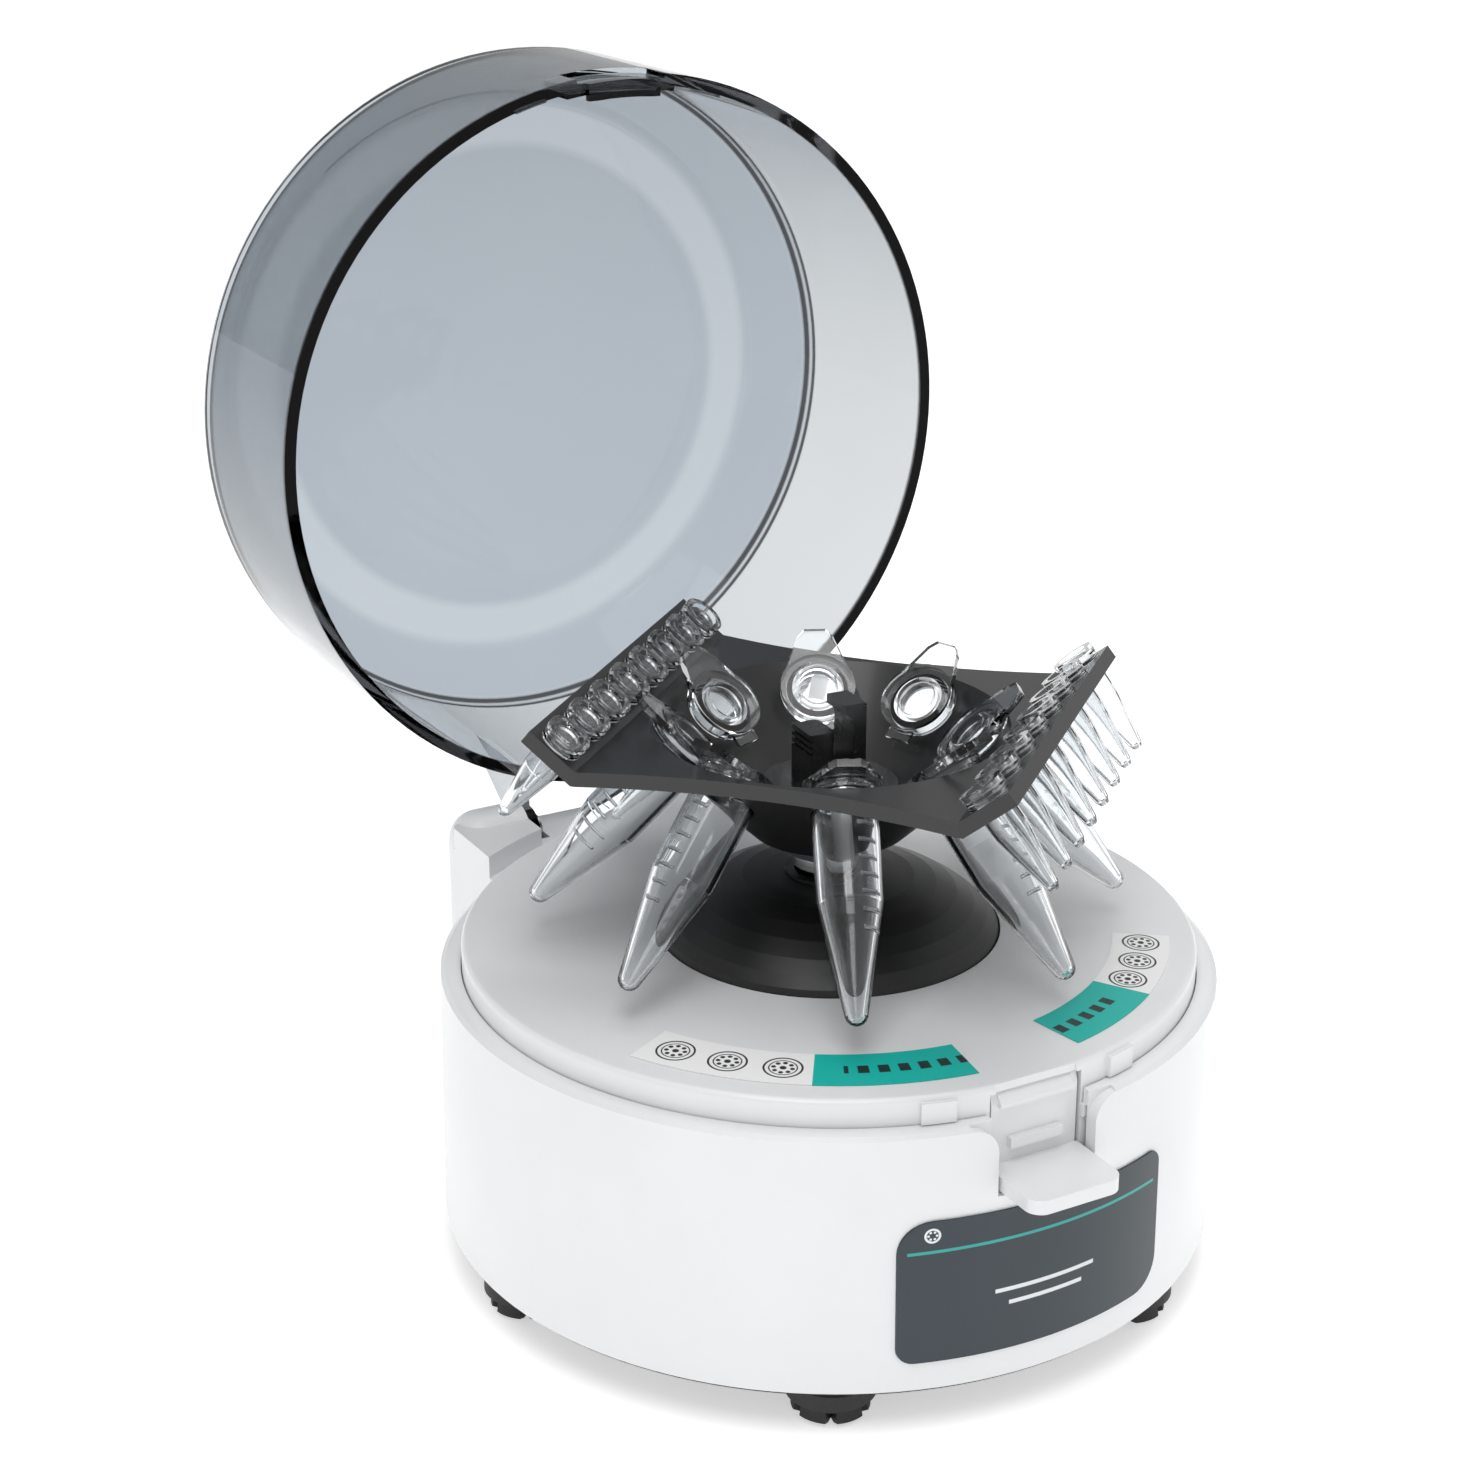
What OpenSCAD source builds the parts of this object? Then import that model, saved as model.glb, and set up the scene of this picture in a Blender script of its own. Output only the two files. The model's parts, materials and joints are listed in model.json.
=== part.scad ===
// Bench-top mini centrifuge with a hinged clear lid, a square combination rotor and its tubes.
// Millimetres. +Z is up and the bench is z = 0; the spindle stands on the Z axis.
// The front, with the latch and the nameplate, faces -Y; the lid hinge is at +Y.

/* [Housing] */
// Diameter of the housing at the top of its wall
body_d = 132; // [128:1:165]
// How much the wall's radius grows from its top down to its foot
body_draft = 0.75; // [0:0.05:1.5]
// Height of the top of the wall above the bench
wall_top = 51.75; // [48:0.25:65]
// Thickness of the housing wall
body_wall = 2.4; // [1.8:0.1:3]
// Rise from the top of the wall to the ledge that the lid closes on
ledge_rise = 0.5; // [0.3:0.1:1]
// Width of the ledge outside the deck
ledge_w = 3.4; // [3.2:0.1:4.5]
// Thickness of the ledge
ledge_t = 2.6; // [2:0.1:3.5]

/* [Deck] */
// Height of the deck's edge above the ledge
step_h = 4.55; // [4:0.05:7]
// Rise of the deck from its edge to the motor boot
deck_crown = 0.7; // [0:0.1:2]
// Thickness of the deck
deck_t = 2.2; // [1.6:0.1:3]
// Thickness of the deck's skirt
skirt_t = 2.2; // [1.6:0.1:3]
// Radius of the deck's screw bosses
boss_r = 3.6; // [3:0.1:5]
// Distance of the screw bosses from the spindle
boss_pitch_r = 52; // [44:0.5:54]
// Sideways size of each small lid stop on the deck's edge
stop_w = 5.6; // [4:0.2:8]
// How far a lid stop stands out of the deck's edge
stop_out = 0.8; // [0.4:0.1:0.9]
// Turn of the lid stops from the front, in degrees
stop_turn = 15.6; // [13:0.2:22]
// Width of the printed labels on the deck
label_w = 9.6; // [6:0.2:12]
// Distance of the labels' middle line from the spindle
label_pitch_r = 53; // [48:0.5:54]
// Thickness of the printed labels
label_t = 0.14; // [0.1:0.02:0.3]

/* [Hinge] */
// Half the width of the hinge column behind the housing
column_half = 38; // [34:0.5:42]
// Distance of the column's rear face from the spindle, past the wall's radius
column_out = 11.8; // [10:0.2:16]
// Distance of the hinge axis from the spindle, past the wall's radius
hinge_out = 6.64; // [6:0.1:9]
// Height of the hinge axis above the ledge
hinge_up = 0.13; // [0:0.05:2]
// Radius of the round hinge posts
post_r = 5.8; // [5.4:0.1:6.2]
// Half the gap between the two posts
post_gap_half = 24; // [20:0.5:28]
// Gap between the lid's rim and the raised hinge blocks, which the rim swings past
swing_gap = 1.1; // [1.1:0.1:2]
// Radius of the hinge pins
hinge_pin_r = 1.5; // [1.2:0.1:2]
// Thickness of the lid's ears
ear_t = 2; // [1.6:0.1:3]
// Radius of the round end of the ears
ear_r = 4.6; // [3.6:0.1:5]

/* [Lid] */
// Thickness of the lid
lid_t = 2.1; // [1.6:0.1:2.6]
// How far the lid's rim stands out past the housing wall
lid_over = 0.17; // [0:0.05:1]
// How much the lid's radius shrinks from the rim to its shoulder
lid_draft = 0.1; // [0:0.05:1]
// Gap between the ledge and the closed lid's rim
lid_gap = 0.4; // [0.3:0.1:1]
// Room above the rotor's highest corner at the lid's shoulder
lid_headroom = 5.1; // [3.5:0.1:6]
// Rise of the lid's crown above its shoulder
crown_h = 3.4; // [2:0.1:6]
// Half the width of the recess for the latch in the lid's rim
recess_half = 9.6; // [8:0.1:11]
// How far the recess steps in
recess_in = 0.9; // [0.6:0.05:1]
// Height of the recess
recess_h = 7; // [5:0.5:12]
// How far the lid's tooth hangs below the rim
tooth_drop = 1.45; // [1.2:0.05:2]
// Height of the lid's tooth
tooth_h = 1.3; // [1:0.1:1.6]
// Gap between the lid's tooth and the deck's edge as the lid comes down
tooth_gap = 0.7; // [0.65:0.05:1]

/* [Latch] */
// Half the width of the latch tongue
tongue_half = 8; // [6.5:0.1:8.2]
// Thickness of the latch tongue
tongue_t = 1.9; // [1.5:0.1:2.5]
// Height of the top of the thumb tab below the ledge
tab_drop = 9.3; // [8:0.1:10.5]
// Thickness of the thumb tab
tab_t = 2.4; // [1.8:0.1:3]
// How far the thumb tab stands out past the housing wall
tab_out = 8.4; // [6:0.2:12]
// Radius of the tab's front corners
tab_corner = 2.7; // [1:0.1:5]
// How far the catch nose stands out of the tongue
nose_out = 0.9; // [0.8:0.05:1]
// Radius of the latch pin
latch_pin_r = 0.9; // [0.7:0.05:1.2]
// Gap at each side of the latch tongue
latch_gap = 0.5; // [0.35:0.05:1]

/* [Base] */
// Height of the bottom plate above the bench
foot_h = 7.4; // [6:0.1:10]
// Thickness of the bottom plate
plate_t = 2.2; // [1.8:0.1:3]
// Number of rubber feet
foot_n = 6; // [4,6,8]
// Distance of the feet from the spindle
foot_pitch_r = 58; // [54:0.5:58.5]
// Radius of a foot
foot_r = 7.4; // [5:0.1:7.6]
// Radius of the case screws' thread
screw_r = 1.5; // [1.2:0.1:1.8]

/* [Motor] */
// Radius of the motor can
motor_r = 18; // [14:0.1:20]
// Length of the motor can
motor_h = 40.5; // [34:0.5:41]
// Thickness of the motor can
can_t = 1.2; // [0.8:0.1:1.6]
// Radius of the motor shaft
shaft_r = 1.5875; // [1.5:0.0125:2.5]
// Outer radius of the motor bearings
bearing_r = 4; // [3.5:0.1:5]
// Radius of the rubber dampers
damper_r = 4.6; // [4:0.1:5.4]
// Height of the rubber dampers
damper_h = 5; // [4:0.5:7]
// Distance of the dampers from the spindle
damper_pitch_r = 27.5; // [26:0.5:29]
// Radius of the black motor boot where it leaves the deck
boot_r = 29.1; // [26:0.1:33]
// Height of the motor boot above the deck
boot_h = 9.9; // [9:0.1:12]
// Thickness of the motor boot
boot_t = 1.8; // [1.4:0.1:2.4]

/* [Rotor] */
// Height of the rotor plate above the top of the rubber boot
rotor_up = 26.8; // [26.4:0.1:30.4]
// Thickness of the rotor plate
rotor_t = 2.5; // [2:0.1:3.5]
// Distance of each fold line from the spindle
fold_x = 31.3; // [30.5:0.1:34]
// Half the length of the plate along the fold
plate_half = 35.4; // [34.5:0.1:38]
// Width of each wing beyond the fold
wing_w = 9.7; // [9:0.1:12]
// Angle of the wings above the plate, in degrees
wing_angle = 38.6; // [25:0.2:45]
// Depth of the hollow in the plate's long sides
side_hollow = 4.2; // [2:0.1:6]
// Radius of the bowl's mouth
bowl_r = 30; // [28:0.1:30.4]
// Radius of the bowl's flat floor
floor_r = 13; // [12.2:0.1:15]
// Radius of the hub disc
hub_r = 12; // [9:0.1:12]
// Height of the hub disc above the bowl's floor
hub_h = 5.35; // [4:0.1:7]
// Turn of the rotor as it is stored, in degrees
rotor_turn = -48.5; // [-180:0.5:180]

/* [Tubes] */
// Number of large tubes
tube_n = 8; // [4,8]
// Angle of the large tubes from the vertical, in degrees
tube_tilt = 43; // [40:0.5:46]
// Distance of a large tube's seat from the spindle
seat_pitch_r = 25.2; // [24.5:0.1:25.6]
// Radius of a large tube
tube_r = 5.4; // [4.5:0.1:5.6]
// Length of a large tube below its flange
tube_l = 37.1; // [30:0.1:37.6]
// Wall of a large tube
tube_wall = 0.9; // [0.7:0.1:1.2]
// Radius of a large tube's flange and cap
cap_r = 6.5; // [6:0.1:6.8]
// Number of small tubes in a strip
strip_n = 8; // [6,8]
// Distance between two small tubes
strip_pitch = 9; // [8.4:0.05:9]
// Radius of a small tube at its mouth
small_r = 3.1; // [2.6:0.1:3.2]
// Length of a small tube below the wing
small_l = 17.3; // [14:0.1:19]
// Clearance round a tube in its hole
tube_fit = 0.15; // [0.1:0.05:0.3]

/* [Hidden] */
$fn = 64;
body_r = body_d / 2;
slip = 0.02;
running = 0.05;
ledge_z = wall_top + ledge_rise;
deck_edge_z = ledge_z + step_h;
deck_edge_r = body_r - ledge_w - 0.2;
skirt_flange_t = 2;
skirt_low = ledge_z - ledge_t - skirt_flange_t;
deck_hole_r = boot_r + 0.3;
flange_r = body_r - body_wall - 0.3;
plate_top = foot_h + plate_t;
wall_foot = foot_h + 0.6;
boot_z = deck_edge_z + deck_crown;

hinge_y = body_r + hinge_out;
hinge_z = ledge_z + hinge_up;
column_y = body_r + column_out;
column_corner = 5;
column_roof = ledge_z - 8.7;
post_outer = column_half;
ear_gap = 0.4;
ear_outer = post_gap_half - ear_gap;
ear_inner = ear_outer - ear_t;
ear_slot_r = ear_r + 0.5;
pin_seat = 8;
pin_head_t = 1;
pin_head_r = 2.6;

rim_z = ledge_z + lid_gap;
rim_r = body_r + lid_over;
recess_turn = asin(recess_half / rim_r);
tooth_half = tongue_half - 1;
tooth_in_r = rim_r - lid_t - recess_in - 1;

notch_half = tongue_half + 1;
notch_flare = 4.2;
tab_z = ledge_z - tab_drop;
notch_z = tab_z - tab_t - 0.6;
tongue_y = deck_edge_r - 0.9;
tab_half = tongue_half + 0.4;
nose_half = tongue_half - 1.2;
tongue_top = deck_edge_z - 1.7;
latch_z = notch_z - 1.6;
latch_y = tongue_y - 1.7;
nose_h = 2.2;

foot_turn = 180 / foot_n;
boss_turns = [60, 120, 240, 300];
damper_turns = [0, 120, 240];
damper_z = plate_top + 2.4;
cradle_z = damper_z + damper_h;
cradle_t = 2.4;
motor_z = cradle_z + cradle_t;
motor_top = motor_z + motor_h;
collar_r = 6.2;
boot_top = boot_z + boot_h;
rotor_z = boot_top + rotor_up;
hub_z = rotor_z - (bowl_r - floor_r) * tan(tube_tilt);
hub_low = hub_z - 6.75;
collar_h = 3;
collar_z = hub_low - 0.35 - collar_h;
lip_z = collar_z - 0.4;
sleeve_r = 4;
shaft_top = hub_z + 0.4;

seat_z = rotor_z - (bowl_r - seat_pitch_r) * tan(tube_tilt);
seat_lift = pow(cap_r, 2) * sin(tube_tilt) / (2 * seat_pitch_r) + 0.05;
tip_r = 1.9;
taper_l = 17.5;
flange_t = 1;
cap_t = 1.8;
strip_s = wing_w / 2;
small_tip_r = 1.2;
cap_strip_t = 1.6;
web_t = 0.9;
wing_top_z = rotor_z + wing_w * sin(wing_angle);
rotor_reach = norm([fold_x + wing_w * cos(wing_angle), plate_half]);
shoulder_z = wing_top_z + lid_headroom - (rim_r - lid_draft - lid_t - rotor_reach - 1);
shoulder_in = rim_r - lid_draft - rotor_reach - 3.5;

// ---------- shared shapes ----------

// Places its children at a turn from the front and a distance from the spindle.
module around(turn, r) {
  rotate([0, 0, turn]) translate([0, -r, 0]) children();
}

// A flat ring or disc with its lower face at z = 0.
module ring(outer, inner, h) {
  difference() {
    cylinder(r = outer, h = h);
    if (inner > 0) translate([0, 0, -1]) cylinder(r = inner, h = h + 2);
  }
}

// A rectangle with round corners, centred.
module soft_rect(w, l, r) {
  square([w - 2 * r, l], center = true);
  square([w, l - 2 * r], center = true);
  for (x = [-1, 1], y = [-1, 1])
    translate([x * (w / 2 - r), y * (l / 2 - r)]) circle(r = r);
}

// A box centred on X with its other low corner given.
module bar(half, y0, y1, z0, z1) {
  translate([-half, y0, z0]) cube([2 * half, y1 - y0, z1 - z0]);
}

// A cylinder along X between two places.
module rod_x(r, x0, x1) {
  translate([x0, 0, 0]) rotate([0, 90, 0]) cylinder(r = r, h = x1 - x0);
}

// A round wire along a list of points.
module wire(points, r) {
  for (i = [0:len(points) - 2]) {
    run = points[i + 1] - points[i];
    translate(points[i])
      rotate([0, acos(run[2] / norm(run)), atan2(run[1], run[0])])
        translate([0, 0, i == 0 ? 0 : -r])
          cylinder(r = i % 2 == 0 ? r : r * 0.97, h = norm(run) + (i == 0 ? 0 : r), $fn = 16);
  }
}

// Points of an arc in the profile plane.
function arc(cx, cz, r, a0, a1, n) =
  [for (i = [0:n]) let (a = a0 + (a1 - a0) * i / n) [cx + r * cos(a), cz + r * sin(a)]];

// Radius of the housing wall's outside at a height.
function wall_r(z) = body_r + body_draft * (wall_top - z) / (wall_top - wall_foot);

// Height of the deck's upper face at a radius.
function deck_z(r) = deck_edge_z + deck_crown * (deck_edge_r - r) / (deck_edge_r - boot_r);

// ---------- housing ----------

module housing_outside() {
  rotate_extrude($fn = 128) polygon([
    [0, wall_foot], [wall_r(wall_foot), wall_foot], [body_r, wall_top],
    [body_r - 0.8, ledge_z], [0, ledge_z]
  ]);
  translate([0, column_y / 2, wall_foot])
    linear_extrude(ledge_z - wall_foot)
      soft_rect(2 * column_half, column_y, column_corner);
  for (side = [-1, 1]) hinge_post(side);
}

// One post: a thumb-shaped end about the hinge axis, standing on the column.
module hinge_post(side) {
  outer = post_outer - post_r;
  translate([0, hinge_y, 0]) {
    translate([side * outer, 0, hinge_z]) sphere(r = post_r);
    translate([side * outer, 0, ledge_z - 2]) cylinder(r = post_r, h = hinge_z - ledge_z + 2);
    translate([0, 0, hinge_z])
      rod_x(post_r, side > 0 ? post_gap_half : -outer, side > 0 ? outer : -post_gap_half);
  }
  difference() {
    translate([side * (post_outer + post_gap_half) / 2, hinge_y - 14, ledge_z - 2])
      linear_extrude(6.2) soft_rect(post_outer - post_gap_half, 28, 2);
    cylinder(r = rim_r + swing_gap, h = ledge_z * 2, $fn = 128);
  }
}

module housing_inside() {
  inner_top = ledge_z - ledge_t;
  rotate_extrude($fn = 128) polygon([
    [0, wall_foot - 1], [wall_r(wall_foot) - body_wall, wall_foot - 1],
    [body_r - body_wall, inner_top], [body_r - ledge_w, inner_top],
    [body_r - ledge_w, ledge_z + 1], [0, ledge_z + 1]
  ]);
  cavity_l = column_y - body_wall;
  translate([0, cavity_l / 2, wall_foot - 1])
    linear_extrude(column_roof - wall_foot + 1)
      soft_rect(2 * (column_half - body_wall), cavity_l, column_corner - body_wall);
}

// The opening in the wall and ledge that the latch works in.
module latch_notch() {
  bar(notch_half, -body_r - 3, -deck_edge_r + 3, notch_z, ledge_z + 1);
  flare_z = wall_top - notch_flare;
  difference() {
    bar(notch_half + notch_flare, -body_r - 3, -body_r + body_wall + 0.4, flare_z, ledge_z + 1);
    for (side = [-1, 1])
      translate([side * (notch_half + notch_flare), -body_r - 4, flare_z])
        rotate([-90, 0, 0]) cylinder(r = notch_flare, h = 10);
  }
}

module lower_housing() {
  color("white") difference() {
    housing_outside();
    housing_inside();
    latch_notch();
    for (side = [-1, 1]) translate([0, hinge_y, hinge_z]) {
      rod_x(ear_slot_r, side > 0 ? ear_inner - 1.6 : -post_gap_half,
        side > 0 ? post_gap_half : -ear_inner + 1.6);
      rod_x(hinge_pin_r + slip, side > 0 ? post_gap_half - 1 : -post_gap_half - pin_seat,
        side > 0 ? post_gap_half + pin_seat : -post_gap_half + 1);
    }
    inlet_place() translate([0, 0, -6]) cylinder(r = inlet_r + 0.2, h = 12);
    switch_place() translate([0, 0, -3])
      linear_extrude(12) square([switch_w + 0.4, switch_l + 0.4], center = true);
  }
}

module deck_profile() {
  lip = 1;
  polygon(concat(
    [[deck_hole_r, deck_z(deck_hole_r)]],
    arc(deck_edge_r - lip, deck_edge_z - lip, lip, 90, 0, 5),
    [
      [deck_edge_r, skirt_low + skirt_flange_t], [flange_r, skirt_low + skirt_flange_t],
      [flange_r, skirt_low], [deck_edge_r - skirt_t, skirt_low],
      [deck_edge_r - skirt_t, deck_edge_z - deck_t],
      [deck_hole_r, deck_z(deck_hole_r) - deck_t]
    ]));
}

module top_deck() {
  ear = notch_half - 0.5;
  color("white") difference() {
    union() {
      rotate_extrude($fn = 128) deck_profile();
      for (turn = boss_turns) around(turn, boss_pitch_r)
        translate([0, 0, plate_top]) cylinder(r = boss_r, h = deck_edge_z - plate_top - 1);
      for (side = [-1, 1]) {
        rotate([0, 0, side * stop_turn]) intersection() {
          rotate([0, 0, -90]) ring(deck_edge_r + stop_out, deck_edge_r - 1, deck_edge_z);
          translate([-stop_w / 2, -deck_edge_r - 2, ledge_z + 0.2])
            cube([stop_w, 4, step_h - 1]);
        }
        translate([side * (ear + 1.1) - 1.1, -latch_y - 2.2, latch_z - 2.2])
          cube([2.2, 4.2, skirt_low - latch_z + 3.2]);
      }
      bar(4, -deck_edge_r + 8.4, -deck_edge_r + 10, skirt_low, deck_edge_z - 1);
    }
    bar(ear, -body_r, -tongue_y + tongue_t + 2, latch_z - 6, tongue_top + 0.35);
    bar(tooth_half + 0.5, -body_r, -tooth_in_r + tooth_gap, tongue_top, deck_edge_z + 1);
    translate([0, -latch_y, latch_z]) rod_x(latch_pin_r + slip, -notch_half - 3, notch_half + 3);
    for (turn = boss_turns) around(turn, boss_pitch_r)
      translate([0, 0, plate_top - 1]) cylinder(r = screw_r + slip, h = 13, $fn = 32);
  }
}

// A curved printed label on the deck between two turns from the front.
module deck_label(from, to) {
  inner = label_pitch_r - label_w / 2;
  outer = label_pitch_r + label_w / 2;
  color("turquoise") rotate([0, 0, from - 90]) rotate_extrude(angle = to - from, $fn = 128)
    polygon([
      [inner, deck_z(inner) + slip], [outer, deck_z(outer) + slip],
      [outer, deck_z(outer) + slip + label_t], [inner, deck_z(inner) + slip + label_t]
    ]);
}

module deck_label_left() deck_label(-63, -7.5);

module deck_label_right() deck_label(11.5, 56);

plate_half_turn = 21.8;
nameplate_low = 13;
nameplate_high = 37.6;
nameplate_t = 0.35;

module nameplate() {
  mid = (nameplate_low + nameplate_high) / 2;
  half_w = wall_r(mid) * sin(plate_half_turn);
  half_h = (nameplate_high - nameplate_low) / 2;
  near = slip;
  far = slip + nameplate_t;
  large = 5.4;
  small = 2.6;
  color("darkslategray") intersection() {
    rotate_extrude($fn = 128) polygon([
      [wall_r(nameplate_low) + near, nameplate_low], [wall_r(nameplate_low) + far, nameplate_low],
      [wall_r(nameplate_high) + far, nameplate_high], [wall_r(nameplate_high) + near, nameplate_high]
    ]);
    translate([0, -body_r + 14, mid]) rotate([90, 0, 0]) linear_extrude(20) polygon(concat(
      arc(half_w - small, half_h - small, small, 0, 90, 6),
      arc(-half_w + large, half_h - large, large, 90, 180, 8),
      arc(-half_w + small, -half_h + small, small, 180, 270, 6),
      arc(half_w - large, -half_h + large, large, 270, 360, 8)));
  }
}

// ---------- base ----------

board_y = -46;
board_w = 46;
board_l = 19;
board_z = plate_top + 4;
board_t = 1.6;

module bottom_plate() {
  outer = wall_r(wall_foot) - body_wall - 0.2;
  color("dimgray") difference() {
    union() {
      translate([0, 0, foot_h]) cylinder(r = wall_r(wall_foot) - 0.6, h = wall_foot - foot_h, $fn = 128);
      translate([0, 0, foot_h]) cylinder(r = outer, h = plate_t, $fn = 128);
      translate([0, column_y / 2, foot_h]) linear_extrude(wall_foot - foot_h)
        soft_rect(2 * column_half - 1.2, column_y - 1.2, column_corner);
      for (turn = damper_turns) around(turn, damper_pitch_r)
        translate([0, 0, foot_h]) cylinder(r = damper_r, h = damper_z - foot_h);
      for (side = [-1, 1]) translate([side * board_w * 0.4, board_y, foot_h])
        cylinder(r = 2.4, h = board_z - foot_h);
    }
    for (turn = damper_turns) around(turn, damper_pitch_r)
      translate([0, 0, foot_h + 1]) cylinder(r = screw_r + slip, h = 8, $fn = 32);
    for (turn = boss_turns) around(turn, boss_pitch_r) {
      translate([0, 0, foot_h - 1]) cylinder(r = screw_r + 0.2, h = 5, $fn = 32);
      translate([0, 0, foot_h - 1]) cylinder(r = 2.9, h = 2.2, $fn = 32);
    }
    for (i = [0:foot_n - 1]) around(foot_turn * (2 * i + 1), foot_pitch_r)
      translate([0, 0, foot_h - 1]) cylinder(r = 2.5 + slip, h = 6, $fn = 32);
    for (x = [-3:3]) translate([x * 5, 0, foot_h - 1]) linear_extrude(6)
      soft_rect(2, 24 - abs(x) * 3, 0.9);
  }
}

// A rubber foot: a stem, a flange and a lower pad cut by notches.
module foot(i) {
  notch_n = 6;
  color("black") around(foot_turn * (2 * i - 1), foot_pitch_r) {
    difference() {
      rotate_extrude() polygon([
        [0, 0], [foot_r * 0.62, 0], [foot_r * 0.86, 0.8], [foot_r * 0.8, 3], [foot_r, 3.6],
        [foot_r, foot_h - 1], [foot_r - 0.8, foot_h], [2.5, foot_h],
        [2.5, foot_h + plate_t], [0, foot_h + plate_t]
      ]);
      for (k = [0:notch_n - 1]) rotate([0, 0, (k + 0.5) * 360 / notch_n])
        translate([foot_r * 0.45, 0, -1]) linear_extrude(3.6)
          polygon([[0, 0], [foot_r, -foot_r * 0.32], [foot_r, foot_r * 0.32]]);
    }
  }
}

module foot_1() foot(1);
module foot_2() foot(2);
module foot_3() foot(3);
module foot_4() foot(4);
module foot_5() foot(5);
module foot_6() foot(6);

// A pan-head screw that points up, its head's lower face at z = 0.
module screw(head_r, head_h, shank_r, shank_l) {
  difference() {
    union() {
      cylinder(r = head_r, h = head_h, $fn = 32);
      cylinder(r = shank_r, h = head_h + shank_l, $fn = 32);
    }
    for (a = [0, 90]) rotate([0, 0, a])
      translate([-head_r * 0.6, -0.35, -0.1]) cube([head_r * 1.2, 0.7, 0.8]);
  }
}

module case_screws() {
  color("silver") for (turn = boss_turns) around(turn, boss_pitch_r)
    translate([0, 0, foot_h - 0.5]) screw(2.6, 1.7, screw_r, 11);
}

// ---------- motor ----------

module motor_boot() {
  r = boot_r;
  h = boot_h;
  skin = [[1, 0], [0.985, 0.1], [0.93, 0.27], [0.85, 0.46], [0.75, 0.65], [0.63, 0.81],
    [0.5, 0.92], [0.38, 0.97], [0.255, 1]];
  color([0.05, 0.05, 0.05]) rotate_extrude($fn = 96) polygon(concat(
    [[r + 2.6, boot_z - deck_t - 1.6], [r + 2.6, boot_z - deck_t - 0.15], [r, boot_z - deck_t - 0.15]],
    [for (p = skin) [r * p[0], boot_z + h * p[1]]],
    [[r * 0.255, lip_z], [r * 0.2, lip_z]],
    [for (i = [len(skin) - 1:-1:0])
      [i == len(skin) - 1 ? r * 0.2 : r * skin[i][0] - boot_t, boot_z + h * skin[i][1] - boot_t]],
    [[r - boot_t, boot_z - deck_t - 1.6]]));
}

module motor_can() {
  color("silver") translate([0, 0, motor_z]) difference() {
    union() {
      rotate_extrude() polygon(concat(
        [[0, 0], [motor_r, 0]],
        arc(motor_r - 1.5, motor_h - 1.5, 1.5, 0, 90, 4),
        [[0, motor_h]]));
      translate([0, 0, motor_h]) cylinder(r = bearing_r + 1.6, h = 2.2);
    }
    translate([0, 0, -1]) cylinder(r = motor_r - can_t, h = motor_h - can_t + 1);
    translate([0, 0, motor_h - 3]) cylinder(r = bearing_r + slip, h = 7);
  }
}

module motor_end_cap() {
  color([0.12, 0.12, 0.13]) translate([0, 0, motor_z]) difference() {
    cylinder(r = motor_r - can_t - slip, h = 4);
    translate([0, 0, -1]) cylinder(r = bearing_r + slip, h = 6);
    for (side = [-1, 1]) translate([side * 10, 0, 1]) cube([1.2, 3.2, 10], center = true);
  }
}

module motor_magnets() {
  color("dimgray") for (side = [0, 180]) rotate([0, 0, side])
    translate([0, 0, motor_z + 8]) difference() {
      ring(motor_r - can_t - slip, motor_r - can_t - 3.6, 26);
      translate([-30, -60 + 5, -1]) cube([60, 60, 40]);
    }
}

module motor_terminals() {
  color("goldenrod") for (side = [-1, 1])
    translate([side * 10 - 0.35, -1.4, motor_z - 4]) cube([0.7, 2.8, 7]);
}

module bearing(z) {
  color("peru") translate([0, 0, z]) ring(bearing_r, shaft_r + running, 4);
}

module upper_bearing() bearing(motor_top - 1.8);

module lower_bearing() bearing(motor_z);

module drive_shaft() {
  color("gainsboro") translate([0, 0, motor_z - 3])
    cylinder(r = shaft_r, h = shaft_top - motor_z + 3);
}

module drive_collar() {
  color("silver") translate([0, 0, collar_z]) difference() {
    rotate_extrude() polygon([
      [0, 0], [collar_r - 1.2, 0], [collar_r, 0.8], [collar_r, collar_h], [0, collar_h]
    ]);
    translate([0, 0, -1]) cylinder(r = shaft_r + slip, h = collar_h + 2);
  }
}

module armature() {
  poles = 5;
  color("indianred") translate([0, 0, motor_z + 11]) difference() {
    cylinder(r = motor_r - can_t - 4.4, h = 20);
    translate([0, 0, -1]) cylinder(r = shaft_r + slip, h = 22);
    for (k = [0:poles - 1]) rotate([0, 0, k * 360 / poles])
      translate([5.5, -0.8, -1]) cube([20, 1.6, 22]);
  }
}

module commutator() {
  color("peru") translate([0, 0, motor_z + 5]) ring(4.2, shaft_r + slip, 5);
}

module motor_cradle() {
  color("darkgray") difference() {
    union() {
      translate([0, 0, cradle_z]) cylinder(r = motor_r + 3, h = cradle_t);
      for (turn = damper_turns) hull() {
        around(turn, damper_pitch_r) translate([0, 0, cradle_z]) cylinder(r = damper_r + 0.6, h = cradle_t);
        translate([0, 0, cradle_z]) cylinder(r = motor_r - 2, h = cradle_t);
      }
      translate([0, 0, cradle_z]) cylinder(r = motor_r + 2.2, h = cradle_t + 20);
    }
    translate([0, 0, motor_z]) cylinder(r = motor_r + slip, h = 30);
    translate([0, 0, cradle_z - 1]) cylinder(r = 12.5, h = 10);
    for (turn = damper_turns) around(turn, damper_pitch_r)
      translate([0, 0, cradle_z - 1]) cylinder(r = screw_r + 0.2, h = 8, $fn = 32);
  }
}

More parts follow.
